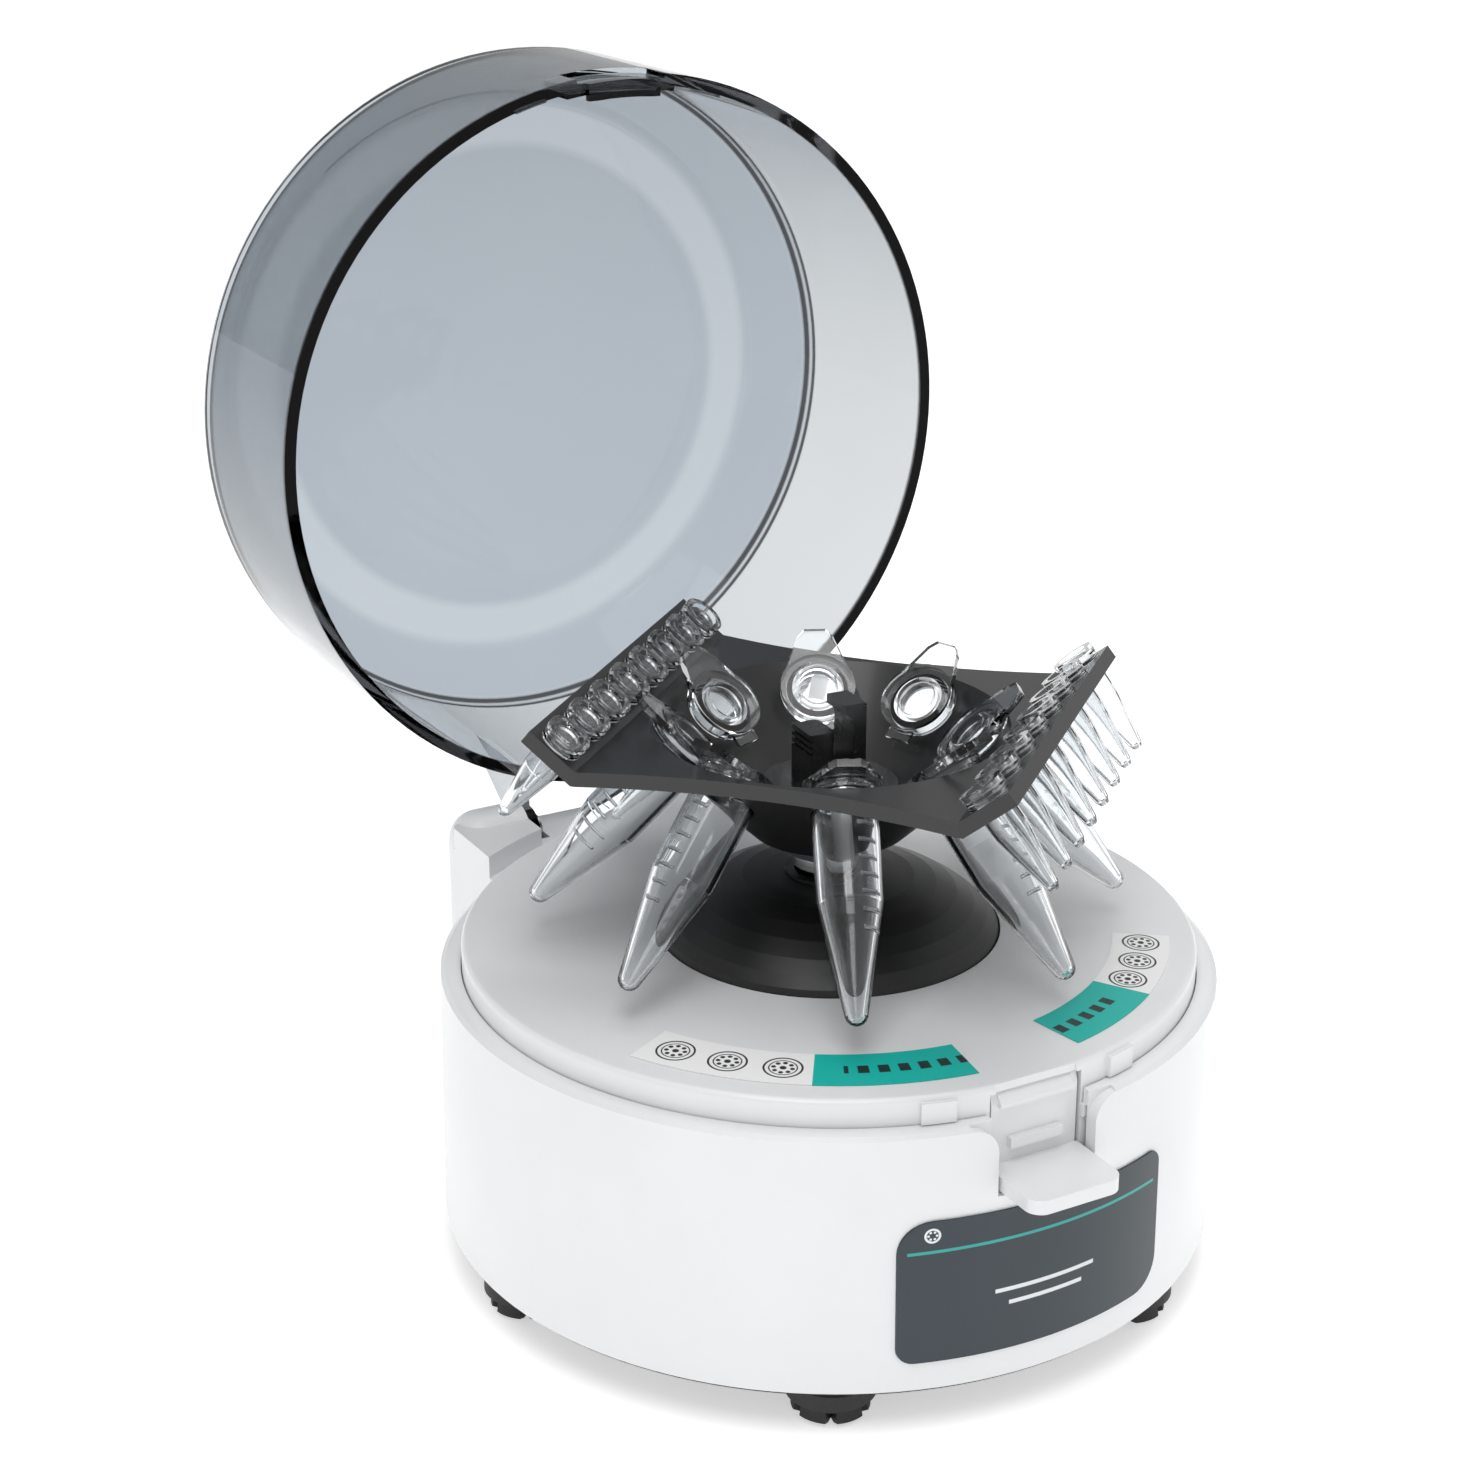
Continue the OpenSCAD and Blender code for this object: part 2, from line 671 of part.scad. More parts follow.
module rubber_dampers() {
  color([0.1, 0.1, 0.1]) for (turn = damper_turns) around(turn, damper_pitch_r)
    translate([0, 0, damper_z]) difference() {
      cylinder(r = damper_r, h = damper_h);
      translate([0, 0, damper_h / 2]) rotate_extrude() translate([damper_r + 0.4, 0]) circle(r = 1.2);
      translate([0, 0, -1]) cylinder(r = screw_r + 0.2, h = damper_h + 2, $fn = 32);
    }
}

module damper_screws() {
  color("silver") for (turn = damper_turns) around(turn, damper_pitch_r)
    translate([0, 0, motor_z + 2]) mirror([0, 0, 1]) screw(2.8, 2, screw_r, 10.5);
}

// ---------- electrics ----------

inlet_x = -17;
switch_x = 15;
rear_z = 27;
inlet_r = 5.4;
switch_w = 19.2;
switch_l = 13;

// Rear face of the column, with z pointing out of it.
module inlet_place() {
  translate([inlet_x, column_y, rear_z]) rotate([-90, 0, 0]) children();
}

module switch_place() {
  translate([switch_x, column_y, rear_z]) rotate([-90, 0, 0]) children();
}

module circuit_board() {
  color("seagreen") translate([0, board_y, board_z]) difference() {
    translate([-board_w / 2, -board_l / 2, 0]) cube([board_w, board_l, board_t]);
    for (x = [-1, 1], y = [-1, 1])
      translate([x * (board_w / 2 - 2.6), y * (board_l / 2 - 2.6), -1]) cylinder(r = 1.1, h = 4, $fn = 24);
  }
}

module board_parts() {
  top = board_z + board_t;
  color("dimgray") {
    translate([-17, board_y - 5, top]) cube([15, 10, 9]);
    for (x = [4, 11]) translate([x, board_y + 3, top]) cylinder(r = 2.8, h = 8, $fn = 32);
    translate([2, board_y - 7, top]) cube([8, 5, 1.6]);
    translate([14, board_y - 7, top]) cube([6, 7, 5]);
  }
}

module dc_inlet() {
  color([0.08, 0.08, 0.09]) inlet_place() difference() {
    union() {
      translate([0, 0, 0.02]) cylinder(r = inlet_r + 1.4, h = 1.5);
      translate([0, 0, -13]) cylinder(r = inlet_r, h = 13.5);
    }
    translate([0, 0, -9]) cylinder(r = 2.9, h = 12, $fn = 48);
    translate([0, 0, -14]) cylinder(r = 1.05, h = 8, $fn = 32);
  }
}

module inlet_contact() {
  color("silver") inlet_place() {
    translate([0, 0, -16]) cylinder(r = 1, h = 14, $fn = 32);
    sphere_z = -2;
    translate([0, 0, sphere_z]) sphere(r = 1, $fn = 32);
  }
}

module switch_frame() {
  color([0.08, 0.08, 0.09]) switch_place() difference() {
    union() {
      translate([0, 0, 0.02]) linear_extrude(1.6) soft_rect(switch_w + 2.6, switch_l + 2.6, 1);
      translate([0, 0, -14]) linear_extrude(15) square([switch_w, switch_l], center = true);
    }
    translate([0, 0, -8]) linear_extrude(12) square([switch_w - 3.4, switch_l - 3], center = true);
    rocker_axis() rod_x(1.2 + running, -12, 12);
  }
}

rocker_half = (switch_w - 3.4) / 2 - 1.1;
rocker_tilt = 9;

// Middle of the rocker's pivot, with x along the pivot.
module rocker_axis() {
  translate([0, 0, -3.6]) rotate([0, 0, 90]) children();
}

// The rocker, tilted to its stored position; its pivot runs across the switch.
module switch_rocker() {
  half_l = (switch_l - 3) / 2 - 0.5;
  color([0.15, 0.15, 0.16]) switch_place() rocker_axis() rotate([rocker_tilt, 0, 0]) {
    rod_x(1.2, -switch_l / 2 + 0.1, switch_l / 2 - 0.1);
    rotate([90, 0, 90]) translate([0, 0, -half_l]) linear_extrude(2 * half_l) polygon([
      [-3, -2.4], [3, -2.4], [rocker_half - 0.8, 2], [rocker_half, 5.2],
      [rocker_half * 0.5, 4.2], [0, 3.8], [-rocker_half * 0.5, 4.2],
      [-rocker_half, 5.2], [-rocker_half + 0.8, 2]
    ]);
  }
}

module power_leads() {
  rear = column_y - 14;
  color("firebrick") for (k = [0, 1])
    wire([
      [inlet_x + 1 + 3 * k, rear - 4, rear_z - 6 * k], [inlet_x + 1 + 3 * k, rear - 9, plate_top + 2 + 2 * k],
      [-37.5 - k * 0.2, 34, plate_top + 2 + 2 * k], [-37.5, -24, plate_top + 2 + 2 * k],
      [-board_w / 2 - 3, board_y + 6 - 4 * k, board_z + 1 + k],
      [-board_w / 2 - 0.1, board_y + 5 - 4 * k, board_z + 0.9]
    ], 0.7);
}

module motor_leads() {
  color("black") for (side = [-1, 1])
    wire([
      [side * 10.4, -2.2, motor_z - 3.2], [side * 9, -14, plate_top + 1.4],
      [side * 12, board_y + board_l / 2 + 4, plate_top + 1.4],
      [side * 12, board_y + board_l / 2 + 0.9, board_z + 0.8]
    ], 0.7);
}

// ---------- latch ----------

// The latch tongue with its catch nose, rib, hub and thumb tab.
module latch_tongue() {
  low = tab_z - tab_t;
  rib_z = tab_z + 2.6;
  tab_l = body_r + tab_out - tongue_y;
  color("white") difference() {
    union() {
      bar(tongue_half, -tongue_y, -tongue_y + tongue_t, latch_z, tongue_top - 1.6);
      rotate([90, 0, 90]) translate([0, 0, -tongue_half]) linear_extrude(2 * tongue_half)
        polygon([
          [-tongue_y, tongue_top - 1.6], [-tongue_y + 0.5, tongue_top],
          [-tongue_y + tongue_t, tongue_top], [-tongue_y + tongue_t, tongue_top - 1.6]
        ]);
      rotate([90, 0, 90]) translate([0, 0, -nose_half]) linear_extrude(2 * nose_half)
        polygon([
          [-tongue_y + 1, tongue_top - nose_h], [-tongue_y - nose_out, tongue_top - nose_h],
          [-tongue_y - nose_out, tongue_top - nose_h + 0.6], [-tongue_y + 0.45, tongue_top - 0.1],
          [-tongue_y + 1, tongue_top - 0.1]
        ]);
      translate([0, -tongue_y, low]) linear_extrude(tab_t) {
        translate([-tab_half, -tab_l + tab_corner]) square([2 * tab_half, tab_l - tab_corner]);
        translate([-tab_half + tab_corner, -tab_l]) square([2 * (tab_half - tab_corner), tab_l]);
        for (side = [-1, 1]) translate([side * (tab_half - tab_corner), -tab_l + tab_corner])
          circle(r = tab_corner);
      }
      translate([0, -latch_y, latch_z]) rod_x(2, -tongue_half, tongue_half);
      bar(tongue_half * 0.6, -tongue_y - 1.1, -tongue_y + 0.5, rib_z, rib_z + 1.8);
    }
    translate([0, -latch_y, latch_z]) rod_x(latch_pin_r + running, -tongue_half - 1, tongue_half + 1);
  }
}

module latch_pin() {
  color("silver") translate([0, -latch_y, latch_z]) rod_x(latch_pin_r, -notch_half - 1.4, notch_half + 1.4);
}

// A bent leaf fixed to the back of the tongue, that leans on the deck's rib when the tab is pushed.
module latch_spring() {
  y0 = -tongue_y + tongue_t + slip;
  y1 = -deck_edge_r + 7;
  z0 = tongue_top - 4.6;
  color("silver") rotate([90, 0, 90]) translate([0, 0, -2]) linear_extrude(4)
    polygon([
      [y0, z0], [y0 + 0.35, z0 - 0.3], [y1 - 0.3, z0 - 3], [y1 - 0.3, z0 + 0.4],
      [y1, z0 + 0.4], [y1, z0 - 3.6], [y0, z0 - 0.4]
    ]);
}

// ---------- lid ----------

// Turns what is drawn closed into the open rest position.
module opened() {
  translate([0, hinge_y, hinge_z]) rotate([-90, 0, 0]) translate([0, -hinge_y, -hinge_z]) children();
}

// Outline of the lid's section, on the outside (grow = 0) or moved in by a thickness.
function lid_line(grow) = concat(
  [[rim_r - grow, rim_z]],
  arc(rim_r - lid_draft - 3, shoulder_z - 1.24, 3 - grow, 0, 45, 4),
  arc(rim_r - lid_draft - shoulder_in - 3, shoulder_z + shoulder_in - 3.7, 6 - grow, 45, 75, 3),
  [for (i = [1:5]) let (f = 1 - i / 5, top = shoulder_z + shoulder_in + crown_h)
    [(rim_r - lid_draft - shoulder_in - 3) * f,
      top - (crown_h - 1) * f * f - grow]]
);

module lid_wall() {
  outside = lid_line(0);
  inside = lid_line(lid_t);
  rotate_extrude($fn = 128) polygon(concat(outside, [for (i = [len(inside) - 1:-1:0]) inside[i]]));
}

// The stepped-in part of the rim with the tooth that the latch holds.
module lid_recess() {
  in_r = rim_r - lid_t - recess_in;
  intersection() {
    union() {
      translate([0, 0, rim_z]) ring(in_r + lid_t, in_r, recess_h);
      translate([0, 0, rim_z + recess_h]) ring(rim_r - 0.3, in_r, 1.6);
      for (side = [-1, 1]) rotate([0, 0, side * recess_turn]) translate([-0.9, -rim_r, rim_z])
        cube([1.8, rim_r - in_r, recess_h + 1.6]);
    }
    bar(recess_half + 0.9, -rim_r, -in_r + 3, rim_z, rim_z + recess_h + 1.6);
    rotate_extrude($fn = 128) translate([in_r, rim_z]) square([rim_r - in_r - 0.02, 20]);
  }
  translate([0, 0, rim_z - tooth_drop]) intersection() {
    union() {
      ring(in_r + lid_t, in_r, tooth_drop + 1);
      ring(in_r + lid_t, tooth_in_r, tooth_h);
    }
    bar(tooth_half, -rim_r, -in_r + 3, 0, tooth_drop + 1);
  }
}

// One ear: a plate from the rim's back to its round end about the hinge axis.
module lid_ear(side) {
  x0 = side > 0 ? ear_inner : -ear_outer;
  foot_y = sqrt(pow(rim_r - 1, 2) - pow(ear_outer, 2));
  translate([0, hinge_y, hinge_z]) rod_x(ear_r, x0, x0 + ear_t);
  translate([x0, 0, 0]) rotate([90, 0, 90]) linear_extrude(ear_t) polygon([
    [hinge_y, hinge_z + ear_r], [hinge_y - ear_r * 0.3, hinge_z + ear_r * 1.5],
    [foot_y, rim_z + 22], [foot_y, rim_z], [hinge_y - ear_r * 0.8, rim_z], [hinge_y, hinge_z]
  ]);
}

module lid_shell() {
  color([0.5, 0.56, 0.62, 0.45]) opened() {
    difference() {
      union() {
        difference() {
          lid_wall();
          bar(recess_half, -rim_r - 1, -rim_r + 12, rim_z - 1, rim_z + recess_h);
        }
        lid_recess();
        for (side = [-1, 1]) {
          lid_ear(side);
          rotate([0, 0, side * stop_turn]) intersection() {
            translate([0, 0, rim_z + 0.6]) ring(rim_r - lid_t + 0.1, rim_r - lid_t - 0.45, 1.8);
            bar(3, -rim_r, -rim_r + 6, rim_z, rim_z + 4);
          }
        }
      }
      translate([0, hinge_y, hinge_z]) rod_x(hinge_pin_r + running, -ear_outer - 1, ear_outer + 1);
      bar(tongue_half + 0.5, -tongue_y - 0.42, -tongue_y + 6, rim_z - 3, deck_edge_z + 1);
    }
  }
}

module hinge_pin(side) {
  x0 = ear_inner - pin_head_t - 0.3;
  color("silver") translate([0, hinge_y, hinge_z]) rotate([0, 0, side > 0 ? 0 : 180]) {
    rod_x(pin_head_r, x0, x0 + pin_head_t);
    rod_x(hinge_pin_r, x0, post_gap_half + pin_seat - 0.5);
  }
}

module hinge_pin_left() hinge_pin(-1);

module hinge_pin_right() hinge_pin(1);

// ---------- rotor ----------

clip_turn = 45;
prong_w = 6.8;
low_prong_top = -0.7;
lever_top = 3.5;
lever_p0 = 1.7;
lever_p1 = 5;
lever_z = hub_z + 2.6;
lever_slot = 0.5;

// Places what is drawn in the rotor's own frame.
module on_rotor() {
  rotate([0, 0, rotor_turn]) children();
}

// Places a large tube's seat: z out of the bowl, x up the slope.
module tube_seat(i) {
  rotate([0, 0, (i - 0.5) * 360 / tube_n]) translate([seat_pitch_r, 0, seat_z])
    rotate([0, -tube_tilt, 0]) translate([0, 0, seat_lift]) children();
}

// Places a wing: x away from the fold, z out of the wing.
module on_wing(side) {
  rotate([0, 0, side > 0 ? 0 : 180]) translate([fold_x, 0, rotor_z])
    rotate([0, -wing_angle, 0]) children();
}

// Places the mouth of a small tube on a wing.
module strip_seat(side, k) {
  on_wing(side) translate([strip_s, (k - (strip_n - 1) / 2) * strip_pitch, 0]) children();
}

// The plate and its two wings as one folded sheet with hollowed long sides.
module folded_sheet() {
  hollow_r = (pow(fold_x, 2) + pow(side_hollow, 2)) / (2 * side_hollow);
  tip_x = fold_x + wing_w * cos(wing_angle);
  under_x = fold_x + rotor_t * tan(wing_angle / 2);
  in_x = tip_x + rotor_t * sin(wing_angle);
  in_z = wing_top_z - rotor_t * cos(wing_angle);
  difference() {
    rotate([90, 0, 0]) translate([0, 0, -plate_half]) linear_extrude(2 * plate_half) polygon([
      [-fold_x, rotor_z], [fold_x, rotor_z], [tip_x, wing_top_z], [in_x, in_z],
      [under_x, rotor_z - rotor_t], [-under_x, rotor_z - rotor_t],
      [-in_x, in_z], [-tip_x, wing_top_z]
    ]);
    for (side = [-1, 1]) translate([0, side * (plate_half - side_hollow + hollow_r), rotor_z - 20])
      cylinder(r = hollow_r, h = 40, $fn = 256);
  }
}

module rotor_plate() {
  slope = 1 / cos(tube_tilt);
  color([0.16, 0.16, 0.17]) on_rotor() difference() {
    union() {
      difference() {
        folded_sheet();
        translate([0, 0, rotor_z - 10]) cylinder(r = bowl_r, h = 20, $fn = 96);
      }
      rotate_extrude($fn = 96) polygon([
        [sleeve_r + 3.5, hub_z], [floor_r, hub_z], [bowl_r, rotor_z], [bowl_r + 0.6, rotor_z],
        [bowl_r + 0.6, rotor_z - rotor_t], [floor_r + 0.4, hub_z - 2.2 * slope],
        [sleeve_r + 3.5, hub_z - 2.2 * slope]
      ]);
    }
    for (i = [1:tube_n]) tube_seat(i)
      translate([0, 0, -14]) cylinder(r = tube_r + tube_fit, h = 20, $fn = 48);
    for (side = [-1, 1], k = [0:strip_n - 1]) strip_seat(side, k)
      translate([0, 0, -5]) cylinder(r = small_r + tube_fit, h = 8, $fn = 32);
  }
}

// The ribbed fixed prong of the quick release, and the disc and boss that carry it.
module rotor_hub() {
  color([0.05, 0.05, 0.05]) on_rotor() difference() {
    union() {
      translate([0, 0, hub_low]) cylinder(r = sleeve_r + 3.45, h = hub_z - hub_low);
      translate([0, 0, hub_z]) rotate_extrude() polygon(concat(
        [[0, 0], [hub_r, 0]], arc(hub_r - 1, hub_h - 1, 1, 0, 90, 4), [[0, hub_h]]));
      rotate([0, 0, clip_turn]) difference() {
        translate([0, 0, hub_z]) linear_extrude(rotor_z + low_prong_top - hub_z) intersection() {
          translate([-prong_w / 2 - 0.6, 0]) circle(r = prong_w / 2 + 0.9);
          translate([-5.4, -prong_w / 2]) square([4.7, prong_w]);
        }
        for (k = [1:3]) translate([-4.9 - 0.8, 0, rotor_z + low_prong_top - 1.1 * k])
          cube([1.6, 20, 0.35], center = true);
      }
    }
    translate([0, 0, hub_low - 1]) cylinder(r = sleeve_r + slip, h = hub_z - hub_low + 1);
    translate([0, 0, hub_z - 1]) cylinder(r = shaft_r + 0.4, h = 1.8);
    rotate([0, 0, clip_turn]) {
      translate([lever_p0 - lever_slot, -prong_w / 2 - 0.4, lever_z - 1.9])
        cube([lever_p1 - lever_p0 + 2 * lever_slot, prong_w + 0.8, 20]);
      translate([(lever_p0 + lever_p1) / 2, 0, lever_z]) rotate([90, 0, 0])
        translate([0, 0, -6]) cylinder(r = 0.75 + slip, h = 12, $fn = 24);
    }
  }
}

module drive_sleeve() {
  color("silver") on_rotor() translate([0, 0, hub_low]) ring(sleeve_r, shaft_r + running, hub_z - hub_low - slip);
}

// The tall prong that is squeezed towards the fixed one.
module release_lever() {
  color([0.05, 0.05, 0.05]) on_rotor() rotate([0, 0, clip_turn]) difference() {
    translate([0, prong_w / 2, 0]) rotate([90, 0, 0]) linear_extrude(prong_w) polygon([
      [lever_p0, lever_z - 1.4], [lever_p1, lever_z - 1.4], [lever_p1, rotor_z + lever_top],
      [lever_p0 - 0.6, rotor_z + lever_top], [lever_p0 - 0.6, rotor_z + lever_top - 1.6],
      [lever_p0 + 0.9, rotor_z + lever_top - 2.6], [lever_p0 + 0.9, hub_z + hub_h + 2],
      [lever_p0, hub_z + hub_h + 1]
    ]);
    translate([(lever_p0 + lever_p1) / 2, 0, lever_z]) rotate([90, 0, 0])
      translate([0, 0, -6]) cylinder(r = 0.75 + running, h = 12, $fn = 24);
  }
}

module lever_pin() {
  color("silver") on_rotor() rotate([0, 0, clip_turn])
    translate([(lever_p0 + lever_p1) / 2, 0, lever_z]) rotate([90, 0, 0])
      translate([0, 0, -5.5]) cylinder(r = 0.75, h = 11, $fn = 24);
}

// ---------- tubes ----------

function tube_line(grow) = concat(
  [[tube_r - grow, 0], [tube_r - grow - 0.1, -taper_l]],
  arc(0, -tube_l + tip_r, tip_r - grow, -15, -90, 4));

module tube(i) {
  outside = tube_line(0);
  inside = tube_line(tube_wall);
  tab_l = 4.6;
  color([0.85, 0.9, 0.92, 0.5]) on_rotor() tube_seat(i) {
    rotate_extrude($fn = 48) polygon(concat(
      [[tube_r - tube_wall, flange_t], [cap_r, flange_t], [cap_r, 0.02], [tube_r, 0.02]], outside,
      [for (j = [len(inside) - 1:-1:0]) inside[j]]));
    difference() {
      union() {
        translate([0, 0, flange_t]) cylinder(r = cap_r, h = cap_t, $fn = 48);
        translate([0, 0, -1.2]) cylinder(r = tube_r - tube_wall - slip, h = 3, $fn = 48);
        translate([0, 0, flange_t + 0.3]) linear_extrude(1.3)
          polygon([[3, -5.6], [cap_r + tab_l - 1.4, -3.1], [cap_r + tab_l, -1.9],
            [cap_r + tab_l, 1.9], [cap_r + tab_l - 1.4, 3.1], [3, 5.6]]);
        translate([-cap_r - 1.6, -2.4, flange_t]) cube([3, 4.8, 0.6]);
      }
      translate([0, 0, flange_t + cap_t - 1.3]) cylinder(r = 3.4, h = 3, $fn = 48);
      translate([0, 0, -3]) cylinder(r = 3.6, h = 3.4, $fn = 48);
    }
  }
}

module tube_1() tube(1);
module tube_2() tube(2);
module tube_3() tube(3);
module tube_4() tube(4);
module tube_5() tube(5);
module tube_6() tube(6);
module tube_7() tube(7);
module tube_8() tube(8);

// A strip of small tubes joined by a web on the wing.
module strip(side) {
  wall = 0.5;
  color([0.85, 0.9, 0.92, 0.5]) on_rotor() difference() {
    union() {
      on_wing(side) translate([strip_s - 1.2, -(strip_n - 1) / 2 * strip_pitch, 0.02])
        cube([2.4, (strip_n - 1) * strip_pitch, web_t - 0.02]);
      for (k = [0:strip_n - 1]) strip_seat(side, k) rotate_extrude($fn = 32) polygon([
        [0, web_t], [small_r + 0.6, web_t], [small_r + 0.6, 0.02], [small_r, 0.02],
        [small_r - 0.15, -6], [small_tip_r, -small_l + 0.9], [small_tip_r * 0.6, -small_l], [0, -small_l]
      ]);
    }
    for (k = [0:strip_n - 1]) strip_seat(side, k) rotate_extrude($fn = 32) polygon([
      [0, web_t + 1], [small_r - wall, web_t + 1], [small_r - wall - 0.15, -6],
      [small_tip_r - wall, -small_l + 1], [0, -small_l + 0.7]
    ]);
  }
}

module strip_left() strip(-1);

module strip_right() strip(1);

// The joined caps that close a strip.
module strip_caps(side) {
  wall = 0.5;
  color([0.85, 0.9, 0.92, 0.5]) on_rotor() difference() {
    union() {
      on_wing(side) translate([strip_s - 1.6, -(strip_n - 1) / 2 * strip_pitch, web_t])
        cube([3.2, (strip_n - 1) * strip_pitch, 0.8]);
      for (k = [0:strip_n - 1]) strip_seat(side, k) {
        translate([0, 0, web_t]) cylinder(r = small_r + 0.7, h = cap_strip_t, $fn = 32);
        translate([0, 0, web_t - 1.2]) cylinder(r = small_r - wall - running, h = 1.3, $fn = 32);
      }
    }
    for (k = [0:strip_n - 1]) strip_seat(side, k)
      translate([0, 0, web_t + 0.7]) cylinder(r = small_r - 0.5, h = 3, $fn = 32);
  }
}

module strip_caps_left() strip_caps(-1);

module strip_caps_right() strip_caps(1);

lower_housing();
top_deck();
bottom_plate();
foot_1();
foot_2();
foot_3();
foot_4();
foot_5();
foot_6();
case_screws();
nameplate();
deck_label_left();
deck_label_right();
motor_boot();
latch_tongue();
latch_pin();
latch_spring();
lid_shell();
hinge_pin_left();
hinge_pin_right();
motor_can();
motor_end_cap();
motor_magnets();
motor_terminals();
upper_bearing();
lower_bearing();
drive_shaft();
drive_collar();
armature();
commutator();
motor_cradle();
rubber_dampers();
damper_screws();
circuit_board();
board_parts();
dc_inlet();
inlet_contact();
switch_frame();
switch_rocker();
power_leads();
motor_leads();
rotor_plate();
rotor_hub();
drive_sleeve();
release_lever();
lever_pin();
tube_1();
tube_2();
tube_3();
tube_4();
tube_5();
tube_6();
tube_7();
tube_8();
strip_left();
strip_right();
strip_caps_left();
strip_caps_right();
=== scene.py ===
"""Looks for the bench-top mini centrifuge: finishes for every piece, light and camera."""

import json
import math

import bpy
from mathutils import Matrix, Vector


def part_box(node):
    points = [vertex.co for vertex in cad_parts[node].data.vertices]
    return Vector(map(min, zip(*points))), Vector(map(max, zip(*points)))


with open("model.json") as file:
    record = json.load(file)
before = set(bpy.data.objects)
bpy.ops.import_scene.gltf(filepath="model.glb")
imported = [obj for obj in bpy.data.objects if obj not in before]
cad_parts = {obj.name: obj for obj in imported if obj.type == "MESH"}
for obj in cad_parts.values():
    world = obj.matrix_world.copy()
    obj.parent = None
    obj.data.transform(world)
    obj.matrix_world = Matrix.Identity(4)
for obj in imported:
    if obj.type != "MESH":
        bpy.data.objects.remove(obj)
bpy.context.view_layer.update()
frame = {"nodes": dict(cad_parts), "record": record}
bpy.ops.object.select_all(action="DESELECT")
nodes = frame["nodes"]


# ---------- shader arithmetic ----------


def feed(tree, socket, value):
    """Gives a shader socket a constant or the result of other nodes."""
    if isinstance(value, Sock):
        tree.links.new(value.out, socket)
    elif isinstance(value, (tuple, list)) and len(value) == 3 and socket.type == "RGBA":
        socket.default_value = (*value, 1)
    else:
        socket.default_value = value


class Sock:
    """A shader value that takes plain arithmetic."""

    def __init__(self, tree, out):
        self.tree = tree
        self.out = out

    def of(self, kind, *values, clamp=False):
        node = self.tree.nodes.new("ShaderNodeMath")
        node.operation = kind
        node.use_clamp = clamp
        for socket, value in zip(node.inputs, values):
            feed(self.tree, socket, value)
        return Sock(self.tree, node.outputs[0])

    def __add__(self, other):
        return self.of("ADD", self, other)

    def __radd__(self, other):
        return self.of("ADD", other, self)

    def __sub__(self, other):
        return self.of("SUBTRACT", self, other)

    def __rsub__(self, other):
        return self.of("SUBTRACT", other, self)

    def __mul__(self, other):
        return self.of("MULTIPLY", self, other)

    def __rmul__(self, other):
        return self.of("MULTIPLY", other, self)

    def __truediv__(self, other):
        return self.of("DIVIDE", self, other)

    def __neg__(self):
        return self.of("MULTIPLY", self, -1)

    def abs(self):
        return self.of("ABSOLUTE", self)

    def sqrt(self):
        return self.of("SQRT", self)

    def sin(self):
        return self.of("SINE", self)

    def max(self, other):
        return self.of("MAXIMUM", self, other)

    def wrap(self, low, high):
        return self.of("WRAP", self, high, low)

    def atan2(self, other):
        return self.of("ARCTAN2", self, other)

    def step(self, low, high):
        """0 below low and 1 above high, straight in between."""
        return self.of("DIVIDE", self - low, high - low, clamp=True)


class Finish:
    """A material in the making: its node tree, its main shader and the object's coordinates in metres."""

    def __init__(self, name):
        self.mat = bpy.data.materials.new(name)
        self.mat.use_nodes = True
        self.tree = self.mat.node_tree
        self.main = self.tree.nodes["Principled BSDF"]
        self.place = self.add("ShaderNodeTexCoord").outputs["Object"]
        split = self.add("ShaderNodeSeparateXYZ")
        self.tree.links.new(self.place, split.inputs[0])
        self.x, self.y, self.z = (Sock(self.tree, o) for o in split.outputs)
        self.height = None

    def add(self, kind, **settings):
        node = self.tree.nodes.new(kind)
        for key, value in settings.items():
            setattr(node, key, value)
        return node

    def noise(self, scale, detail=2.0, stretch=(1, 1, 1)):
        """Soft noise from 0 to 1; stretch scales the coordinates first."""
        mapping = self.add("ShaderNodeMapping")
        self.tree.links.new(self.place, mapping.inputs["Vector"])
        mapping.inputs["Scale"].default_value = stretch
        node = self.add("ShaderNodeTexNoise")
        self.tree.links.new(mapping.outputs[0], node.inputs["Vector"])
        node.inputs["Scale"].default_value = scale
        node.inputs["Detail"].default_value = detail
        return Sock(self.tree, node.outputs["Fac"])

    def mix(self, share, a, b):
        """Colour a where share is 0, and b where it is 1."""
        node = self.add("ShaderNodeMix", data_type="RGBA")
        feed(self.tree, node.inputs["Factor"], share)
        for name, value in (("A", a), ("B", b)):
            socket = next(i for i in node.inputs if i.name == name and i.type == "RGBA")
            feed(self.tree, socket, value)
        out = next(o for o in node.outputs if o.type == "RGBA")
        return Sock(self.tree, out)

    def facing(self, blend):
        """0 where the surface faces the eye, 1 at its outline."""
        node = self.add("ShaderNodeLayerWeight")
        node.inputs["Blend"].default_value = blend
        return Sock(self.tree, node.outputs["Facing"])

    def put(self, **values):
        """Sets the main shader's sockets; underscores stand for spaces."""
        for key, value in values.items():
            feed(self.tree, self.main.inputs[key.replace("_", " ")], value)
        return self

    def bump(self, height, depth, strength=1.0):
        """Raises the surface by height times depth, in metres."""
        node = self.add("ShaderNodeBump")
        node.inputs["Strength"].default_value = strength
        node.inputs["Distance"].default_value = depth
        feed(self.tree, node.inputs["Height"], height)
        if self.height is not None:
            self.tree.links.new(self.height, node.inputs["Normal"])
        self.height = node.outputs["Normal"]
        self.tree.links.new(self.height, self.main.inputs["Normal"])
        return self


# ---------- finishes ----------


def shade(colour, by):
    return tuple(min(1, c * by) for c in colour)


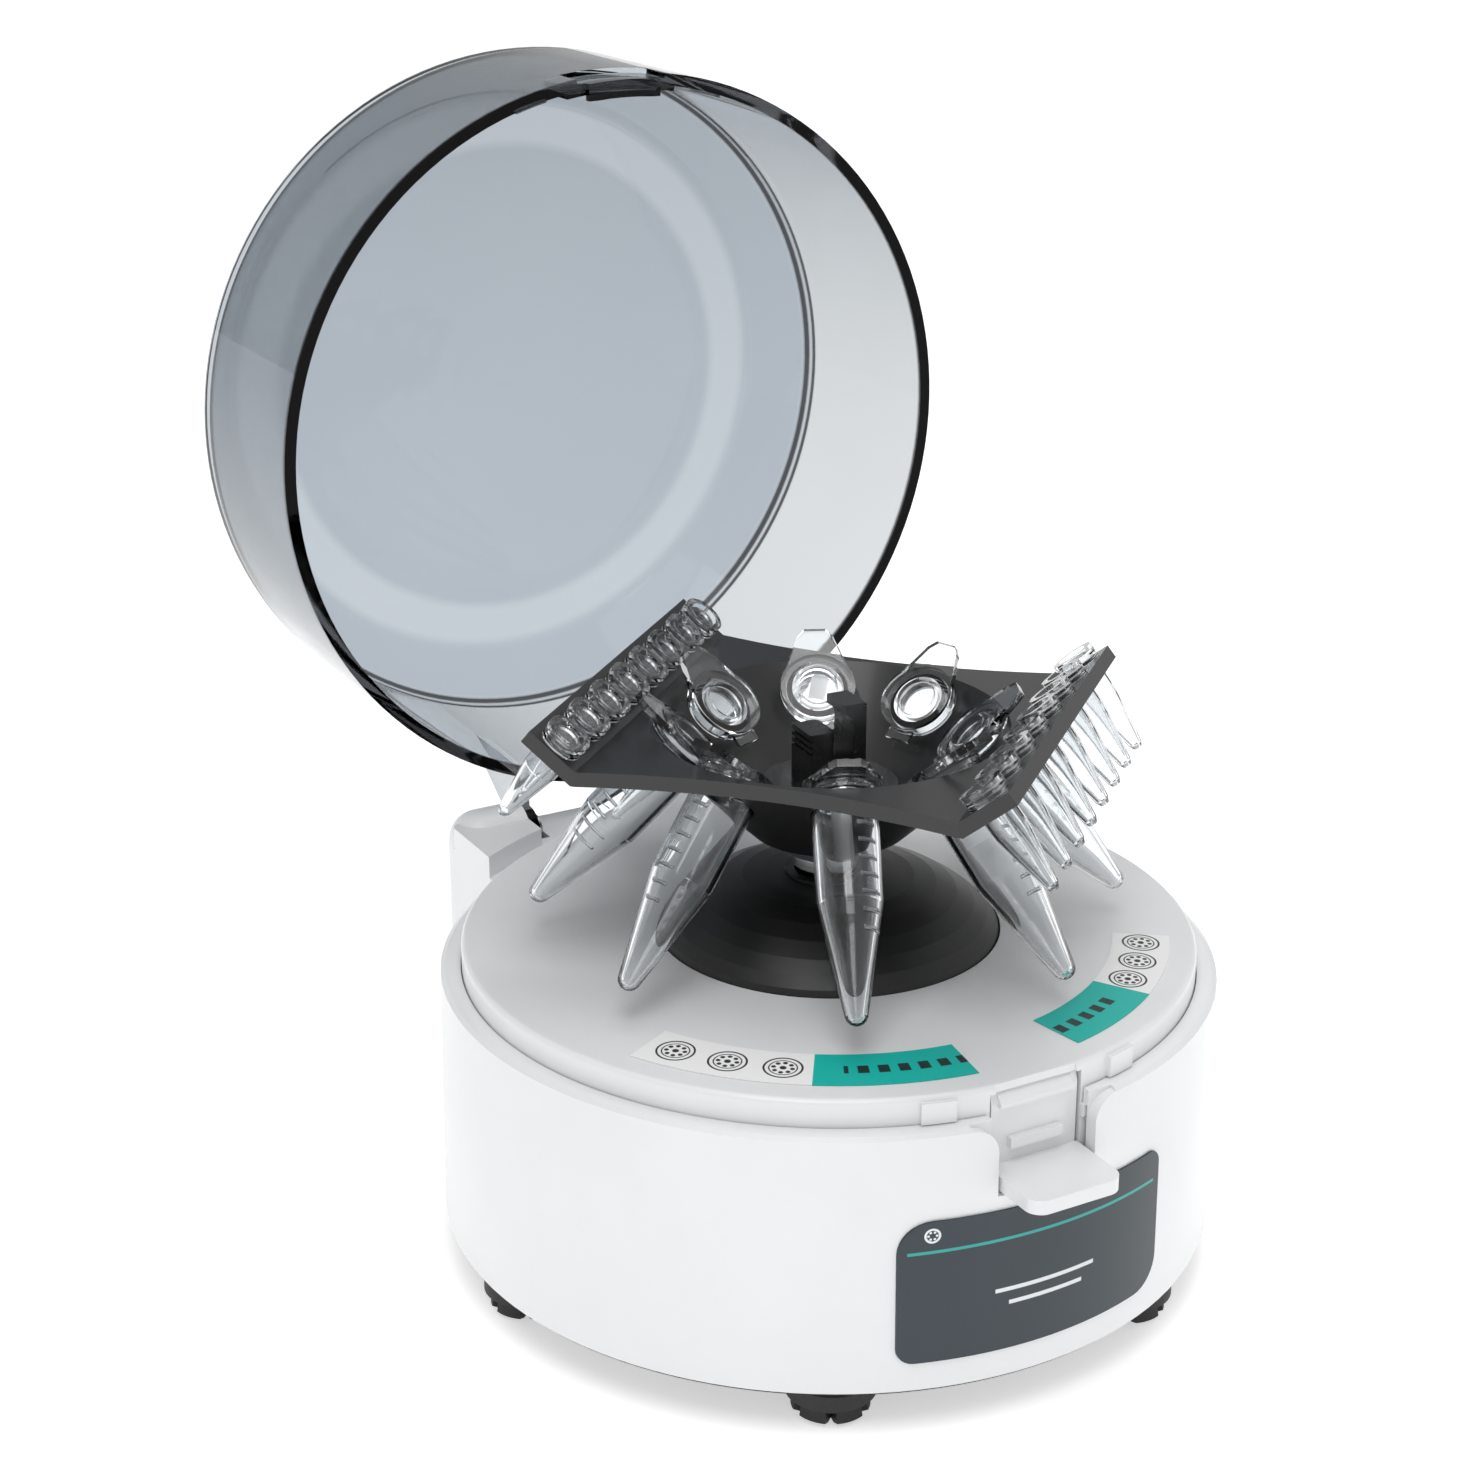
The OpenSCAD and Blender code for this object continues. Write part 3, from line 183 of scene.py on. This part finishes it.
def moulded(name, colour, rough, grain=0.00002, scale=1400, coat=0.0, tone=0.96):
    """Injection-moulded plastic: faint cloudy tone, uneven gloss and a fine skin."""
    f = Finish(name)
    cloud = f.noise(38, 3)
    fine = f.noise(scale, 2)
    f.put(
        Base_Color=f.mix(cloud.step(0.3, 0.7), shade(colour, tone), colour),
        Roughness=(cloud - 0.5) * 0.08 + (fine - 0.5) * 0.05 + rough,
        Coat_Weight=coat,
        Coat_Roughness=0.12,
        Specular_IOR_Level=0.5,
    )
    return f.bump(fine, grain)


def turned(name, colour, rough, along=(1, 1, 0.04), scale=2600):
    """Metal with fine marks drawn out across the stretched direction."""
    f = Finish(name)
    marks = f.noise(scale, 3, along)
    smudge = f.noise(90, 2)
    f.put(
        Base_Color=f.mix(marks.step(0.35, 0.65), shade(colour, 0.86), colour),
        Metallic=1.0,
        Roughness=rough + (marks - 0.5) * 0.12 + (smudge - 0.5) * 0.1,
    )
    return f.bump(marks, 0.000012)


def rubber(name, colour):
    """Soft rubber with a powdery tone and a fine pitted skin."""
    f = Finish(name)
    pits = f.noise(1900, 3)
    dust = f.noise(60, 3)
    f.put(
        Base_Color=f.mix(dust.step(0.35, 0.75), colour, shade(colour, 1.9)),
        Roughness=0.62 + (pits - 0.5) * 0.16,
    )
    return f.bump(pits, 0.00004)


def clear(name, colour, rough, wave=0.00003):
    """Clear moulded plastic with slight flow waves."""
    f = Finish(name)
    flow = f.noise(120, 2)
    f.put(
        Base_Color=f.mix(flow, colour, shade(colour, 0.97)),
        Roughness=rough + (flow - 0.5) * 0.03,
        Transmission_Weight=1.0,
        IOR=1.46,
    )
    return f.bump(flow, wave)


WHITE = (0.82, 0.83, 0.84)
BLACK = (0.012, 0.012, 0.013)
STEEL = (0.62, 0.63, 0.64)
TEAL = (0.005, 0.45, 0.39)
CLEAR = (0.95, 0.965, 0.975)
LABEL_R = 0.053
LID_AXIS_Z = 0.125
TUBE_TILT = 43
TUBE_REACH = 0.0195
SURROUND = 0.53


def case_white():
    f = moulded("case_white", WHITE, 0.3, coat=0.25)
    return f


def lid_clear():
    """Smoke-tinted clear plastic: pale wall with painted shade towards its outline, deeper end with a painted
    ring highlight, and painted near-black bands at the open end and round the closed end's outer circle for
    the dark outline that clear plastic shows.
    """
    f = Finish("smoke_clear")
    flow = f.noise(26, 2)
    # Painted shade: the open end of the lid is coloured near black for the dark outline clear plastic shows
    # there; there is no black part.
    painted_dark_rim = 1 - f.y.step(0.0733, 0.0741)
    up = f.z - LID_AXIS_Z
    away = (f.x * f.x + up * up).sqrt()
    end = f.y.step(0.1135, 0.116)
    # Painted highlight: a lighter ring on the closed end of the lid.
    ring = away.step(0.0455, 0.0475) * (1 - away.step(0.0535, 0.0555))
    # Painted shade: a thin near-black line round the outer circle of the closed end, for the dark outline
    # seen there.
    painted_dark_end_edge = f.y.step(0.1142, 0.1146) * (1 - f.y.step(0.1152, 0.1156)) * away.step(0.0585, 0.059)
    # Painted shade: the wall tint turns darker towards the outline as seen from the camera.
    painted_outline_shade = f.facing(0.5).step(0.25, 0.85)
    wall = f.mix(painted_outline_shade, f.mix(flow, (0.63, 0.65, 0.665), (0.6, 0.62, 0.635)), (0.3, 0.33, 0.355))
    deep = f.mix(flow, (0.335, 0.372, 0.415), (0.36, 0.397, 0.44))
    deep = f.mix(ring * 0.4, deep, (0.55, 0.59, 0.63))
    tint = f.mix(end, wall, deep)
    f.put(
        Base_Color=f.mix(painted_dark_rim.max(painted_dark_end_edge), tint, (0.012, 0.012, 0.013)),
        Roughness=0.03 + (flow - 0.5) * 0.02,
        Transmission_Weight=1.0,
        IOR=1.2,
    )
    return f.bump(flow, 0.00005)


def ring_mark(f, x, y, cx, cy, r, line):
    """1 on a thin ring about a point, 0 elsewhere."""
    away = ((x - cx) * (x - cx) + (y - cy) * (y - cy)).sqrt()
    return 1 - ((away - r).abs()).step(line * 0.5, line * 0.5 + 0.00006)


def dot_mark(f, x, y, cx, cy, r):
    away = ((x - cx) * (x - cx) + (y - cy) * (y - cy)).sqrt()
    return 1 - away.step(r, r + 0.00008)


def nameplate():
    """Slate film with a thin teal line, a rotor pictogram and short pale dashes."""
    f = Finish("nameplate_print")
    grain = f.noise(1500, 2)
    slate = (0.02, 0.032, 0.042)
    line_z = 0.0326 - f.x * f.x * 0.6
    line = 1 - (f.z - line_z).abs().step(0.00022, 0.0003)
    inside = 1 - f.x.abs().step(0.0232, 0.0233)
    ink = ring_mark(f, f.x, f.z, -0.0195, 0.0352, 0.0011, 0.0003)
    for k in range(6):
        a = k * math.pi / 3
        dot_x = -0.0195 + 0.00065 * math.cos(a)
        dot_z = 0.0352 + 0.00065 * math.sin(a)
        ink = ink.max(dot_mark(f, f.x, f.z, dot_x, dot_z, 0.00016))
    for z, half in ((0.0236, 0.0092), (0.0212, 0.0068)):
        bar = (1 - (f.z - z).abs().step(0.0003, 0.0004)) * (1 - f.x.abs().step(half, half + 0.0001))
        ink = ink.max(bar)
    base = f.mix(grain, slate, shade(slate, 1.15))
    f.put(
        Base_Color=f.mix(ink, f.mix(line * inside, base, (0.02, 0.36, 0.33)), (0.78, 0.8, 0.82)),
        Roughness=0.34 + (grain - 0.5) * 0.06,
    )
    return f.bump(grain, 0.00001)


def deck_label(name, white_from, white_to, marks):
    """Teal and white printed film; the white part carries round rotor pictograms."""
    f = Finish(name)
    grain = f.noise(1800, 2)
    turn = f.x.atan2(-f.y) * (180 / math.pi)
    white = turn.step(white_from, white_from + 0.1) * (1 - turn.step(white_to, white_to + 0.1))
    ink = None
    for at in marks:
        cx = LABEL_R * math.sin(math.radians(at))
        cy = -LABEL_R * math.cos(math.radians(at))
        rings = ((0.0030, 0.00028), (0.0022, 0.00016))
        parts = [ring_mark(f, f.x, f.y, cx, cy, r, line) for r, line in rings]
        for k in range(8):
            a = k * math.pi / 4
            parts.append(dot_mark(f, f.x, f.y, cx + 0.0015 * math.cos(a), cy + 0.0015 * math.sin(a), 0.00034))
        parts.append(dot_mark(f, f.x, f.y, cx, cy, 0.0005))
        for part in parts:
            ink = part if ink is None else ink.max(part)
    radius = (f.x * f.x + f.y * f.y).sqrt()
    dashes = (turn * (math.pi / 180) * LABEL_R / 0.0032).wrap(0.0, 1.0).step(0.42, 0.47)
    band = 1 - (radius - LABEL_R).abs().step(0.0011, 0.0012)
    middle = (turn - white_to).abs().step(5.0, 5.1) * (turn - white_from).abs().step(5.0, 5.1)
    dark = (1 - white) * band * dashes * middle
    teal = f.mix(grain, TEAL, shade(TEAL, 1.08))
    base = f.mix(white, teal, (0.9, 0.9, 0.9))
    base = f.mix(dark, base, (0.01, 0.03, 0.03))
    f.put(
        Base_Color=f.mix(ink * white, base, (0.02, 0.02, 0.02)),
        Roughness=0.42 + (grain - 0.5) * 0.06,
    )
    return f.bump(grain, 0.00001)


def tube(number, axis, seat):
    """Clear tube with raised graduation ticks on its outer side and a frosted writing patch."""
    f = Finish("tube_clear_%d" % number)
    flow = f.noise(140, 2)
    out = Vector((axis.x, axis.y, 0)).normalized()
    side = axis.cross(out).normalized()
    face = side.cross(axis).normalized()
    rel = [f.x - seat.x, f.y - seat.y, f.z - seat.z]
    along, across, front = (rel[0] * v.x + rel[1] * v.y + rel[2] * v.z for v in (axis, side, face))
    pitch = (along / 0.0028).wrap(0.0, 1.0)
    line = 1 - (pitch - 0.5).abs().step(0.06, 0.1)
    span = along.step(0.008, 0.0082) * (1 - along.step(0.03, 0.0302))
    tick = line * span * (1 - (across + 0.0015).abs().step(0.0012, 0.0013)) * front.step(-0.0002, 0.0)
    tall = 1 - (along - 0.0135).abs().step(0.0052, 0.0054)
    wide = 1 - (across - 0.002).abs().step(0.0014, 0.0015)
    patch = tall * wide
    frost = tick.max(patch * front.step(-0.0002, 0.0))
    f.put(
        Base_Color=f.mix(flow, CLEAR, (0.92, 0.935, 0.945)),
        Roughness=0.03 + frost * 0.4,
        Transmission_Weight=1.0,
        IOR=1.46,
    )
    f.bump(flow, 0.00003)
    return f.bump(tick, 0.00018)


def winding():
    """Varnished copper wire laid in turns."""
    f = Finish("copper_winding")
    lines = (f.z * 9000).sin()
    wear = f.noise(140, 2)
    f.put(
        Base_Color=f.mix(wear, (0.62, 0.24, 0.1), (0.46, 0.16, 0.06)),
        Metallic=0.85,
        Roughness=0.34 + wear * 0.1,
    )
    return f.bump(lines, 0.00004)


def board():
    """Solder mask with darker tracks."""
    f = Finish("board_green")
    tracks = (f.x.wrap(0.0, 0.0028) - 0.0014).abs().step(0.0003, 0.0004)
    fine = f.noise(900, 2)
    f.put(
        Base_Color=f.mix(tracks, (0.02, 0.2, 0.1), (0.01, 0.13, 0.07)),
        Roughness=0.35 + (fine - 0.5) * 0.1,
    )
    return f.bump(tracks, 0.00003)


finishes = {
    "case_white": case_white(),
    "base_black": moulded("base_black", BLACK, 0.55, grain=0.00005, scale=900),
    "foot_rubber": rubber("foot_rubber", (0.012, 0.012, 0.012)),
    "zinc_steel": turned("zinc_steel", STEEL, 0.3, (1, 1, 1), 700),
    "nameplate_print": nameplate(),
    "boot_black": moulded("boot_black", (0.009, 0.009, 0.0095), 0.4, grain=0.00001, tone=0.9),
    "pin_steel": turned("pin_steel", STEEL, 0.22, (0.04, 1, 1)),
    "spring_steel": turned("spring_steel", (0.5, 0.51, 0.53), 0.3, (0.1, 1, 1)),
    "smoke_clear": lid_clear(),
    "nickel_can": turned("nickel_can", (0.6, 0.6, 0.58), 0.28, (1, 1, 0.05)),
    "black_moulding": moulded("black_moulding", BLACK, 0.5),
    "ferrite": moulded("ferrite", (0.05, 0.05, 0.052), 0.7, grain=0.00006, scale=1100),
    "brass_tag": turned("brass_tag", (0.72, 0.52, 0.2), 0.3),
    "bronze": turned("bronze", (0.52, 0.33, 0.16), 0.45, (1, 1, 1), 1500),
    "shaft_steel": turned("shaft_steel", (0.66, 0.67, 0.68), 0.2, (0.05, 0.05, 1)),
    "copper_winding": winding(),
    "cradle_grey": moulded("cradle_grey", (0.1, 0.1, 0.105), 0.5),
    "damper_rubber": rubber("damper_rubber", (0.014, 0.014, 0.014)),
    "board_green": board(),
    "rocker_black": moulded("rocker_black", BLACK, 0.28, coat=0.2),
    "red_lead": rubber("red_lead", (0.4, 0.015, 0.01)),
    "black_lead": rubber("black_lead", (0.012, 0.012, 0.012)),
    "rotor_black": moulded(
        "rotor_black", (0.014, 0.014, 0.015), 0.3, grain=0.000003, scale=500, tone=0.88, coat=0.15
    ),
    "hub_black": moulded("hub_black", (0.009, 0.009, 0.01), 0.26, grain=0.000003, scale=500, coat=0.2),
    "strip_clear": clear("strip_clear", CLEAR, 0.04),
}
labels = {
    "deck_label_left": deck_label("label_left", -64.0, -33.5, (-57.5, -48, -38.5)),
    "deck_label_right": deck_label("label_right", 33.0, 57.0, (36.8, 44.6, 52.4)),
}

tubes = {}
for number in range(1, 9):
    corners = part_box("tube_%d" % number)
    middle = (corners[0] + corners[1]) / 2
    out = Vector((middle.x, middle.y, 0)).normalized()
    tilt = math.radians(TUBE_TILT)
    axis = out * math.sin(tilt) - Vector((0, 0, math.cos(tilt)))
    top = middle - axis * TUBE_REACH
    tubes["tube_%d" % number] = tube(number, axis, top)

slots = {s["node"]: s["material_slot"] for s in frame["record"]["subparts"]}
for name, node in nodes.items():
    finish = labels.get(name) or tubes.get(name) or finishes[slots[name]]
    node.data.materials.clear()
    node.data.materials.append(finish.mat)


# ---------- stage, light and camera ----------


def stage():
    """A plain pale floor, soft lights and an even white surround."""
    bpy.ops.mesh.primitive_plane_add(size=60, location=(0, 0, -0.0002))
    floor = bpy.context.object
    floor.name = "floor"
    f = Finish("floor_white")
    f.put(
        Base_Color=(0.9, 0.9, 0.9),
        Roughness=0.9,
        Specular_IOR_Level=0.0,
        Emission_Color=(1, 1, 1),
        Emission_Strength=0.52,
    )
    floor.data.materials.append(f.mat)
    world = bpy.data.worlds.new("surround")
    world.use_nodes = True
    world.node_tree.nodes["Background"].inputs["Color"].default_value = (1, 1, 1, 1)
    path = world.node_tree.nodes.new("ShaderNodeLightPath")
    seen = Sock(world.node_tree, path.outputs["Is Camera Ray"])
    strength = world.node_tree.nodes["Background"].inputs["Strength"]
    feed(world.node_tree, strength, SURROUND + seen * (1 - SURROUND))
    bpy.context.scene.world = world
    for name, at, size, power in (
        ("key", (-0.3, -0.4, 1.2), 0.7, 5.0),
        ("fill", (0.9, -0.5, 0.6), 0.9, 0.5),
        ("back", (0.25, 0.35, 1.2), 0.7, 3.0),
    ):
        light = bpy.data.lights.new(name, "AREA")
        light.energy = power
        light.size = size
        lamp = bpy.data.objects.new(name, light)
        bpy.context.scene.collection.objects.link(lamp)
        lamp.location = at
        lamp.rotation_euler = (Vector((0, 0, 0.08)) - Vector(at)).to_track_quat("-Z", "Y").to_euler()


def camera():
    eye = Vector((-0.22504, -0.36821, 0.25763))
    target = Vector((-0.01378, 0.00774, 0.09164))
    lens = bpy.data.cameras.new("camera")
    lens.lens = 68.03
    lens.sensor_width = 36
    lens.clip_start = 0.01
    cam = bpy.data.objects.new("camera", lens)
    bpy.context.scene.collection.objects.link(cam)
    cam.location = eye
    cam.rotation_euler = (target - eye).to_track_quat("-Z", "Y").to_euler()
    bpy.context.scene.camera = cam


stage()
camera()
bpy.context.scene.view_settings.view_transform = "Standard"
bpy.context.scene.view_settings.look = "None"
